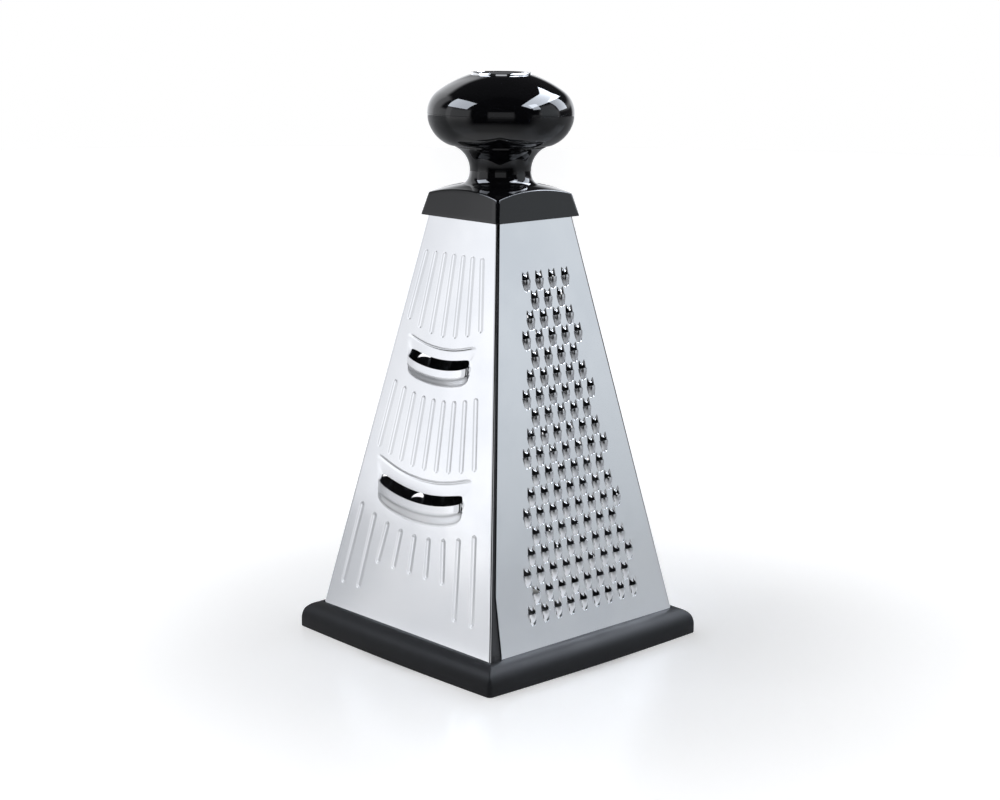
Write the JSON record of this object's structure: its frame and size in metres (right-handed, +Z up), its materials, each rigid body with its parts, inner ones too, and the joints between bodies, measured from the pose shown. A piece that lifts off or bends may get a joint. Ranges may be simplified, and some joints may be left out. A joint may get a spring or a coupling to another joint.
{
  "type": "box grater",
  "caption": "Pyramid-shaped kitchen grater of bent steel sheet with slicing, fine, coarse and rasp faces, a soft foot ring and a round knob with a chromed cap.",
  "frame": {"origin": "centre of the foot ring's sole, on the table", "axes": "+Z up the grater to its knob, -Y out of the slicing face, +X out of the fine face, +Y out of the rasp face, -X out of the coarse face"},
  "size_m": [0.1246, 0.1246, 0.2398],
  "materials": {
    "steel_sheet": "bright rolled stainless sheet",
    "matte_black": "fine matte moulding",
    "gloss_black": "high gloss moulding",
    "soft_rubber": "satin soft moulding",
    "chromed_plastic": "satin chrome plate",
    "plated_fastener": "zinc plated"
  },
  "bodies": {
    "root": {"slicer_coarse_shell": "steel_sheet", "fine_rasp_shell": "steel_sheet", "base_frame": "matte_black", "foot_ring": "soft_rubber", "front_seam_strip": "matte_black", "back_seam_strip": "matte_black", "top_plug": "matte_black", "neck_collar": "gloss_black", "knob_lower_shell": "gloss_black", "knob_upper_shell": "gloss_black", "chrome_cap": "chromed_plastic", "tie_bolt": "plated_fastener", "washer": "plated_fastener", "nut": "plated_fastener"}
  },
  "joints": []
}
